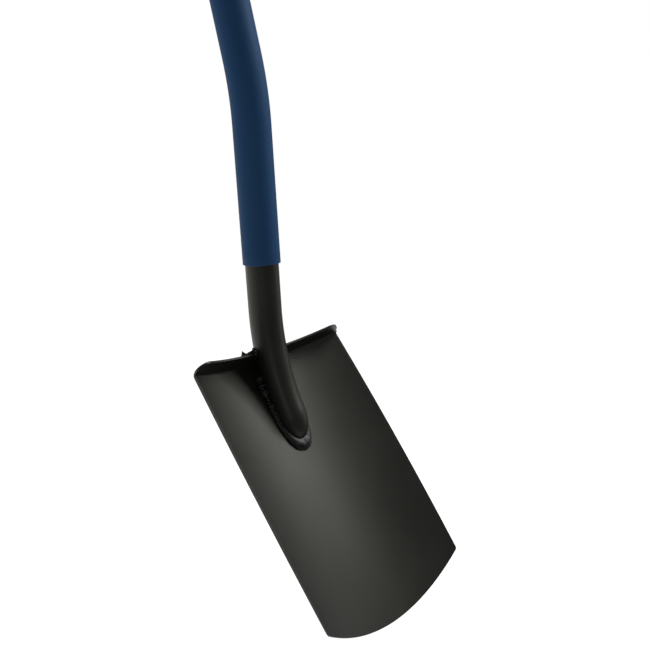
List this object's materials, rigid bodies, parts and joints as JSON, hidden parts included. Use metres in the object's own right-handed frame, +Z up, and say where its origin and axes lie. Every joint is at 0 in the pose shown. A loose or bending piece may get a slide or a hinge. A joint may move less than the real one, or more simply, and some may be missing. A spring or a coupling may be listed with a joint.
{
  "type": "garden spade",
  "caption": "Digging spade with a dished, treaded steel blade, a cranked tubular shaft in a plastic sleeve and a D-shaped handle.",
  "frame": {"origin": "under the middle of the upright spade's box, at the height of the cutting edge's lowest point", "axes": "+Z up along the straight upper shaft, X across the blade, the dished front of the blade faces -Y"},
  "size_m": [0.1932, 0.1194, 1],
  "materials": {
    "powder_coat": "satin black powder coat on pressed steel",
    "coated_weld": "glossier black coat pooled on the weld beads",
    "blue_sleeve": "satin navy blue PVC sleeve with a fine grain",
    "black_moulding": "fine-textured black polypropylene",
    "soft_grip": "matte ribbed thermoplastic rubber",
    "bare_steel": "zinc-bright steel rivet and washer"
  },
  "bodies": {
    "root": {"blade": "powder_coat", "shaft_tube": "powder_coat", "weld_left": "coated_weld", "weld_right": "coated_weld", "weld_tip": "coated_weld", "tread_weld_left": "coated_weld", "tread_weld_right": "coated_weld", "shaft_sleeve": "blue_sleeve", "d_handle": "black_moulding", "hand_grip": "soft_grip", "handle_rivet": "bare_steel", "rivet_washer": "bare_steel"}
  },
  "joints": []
}
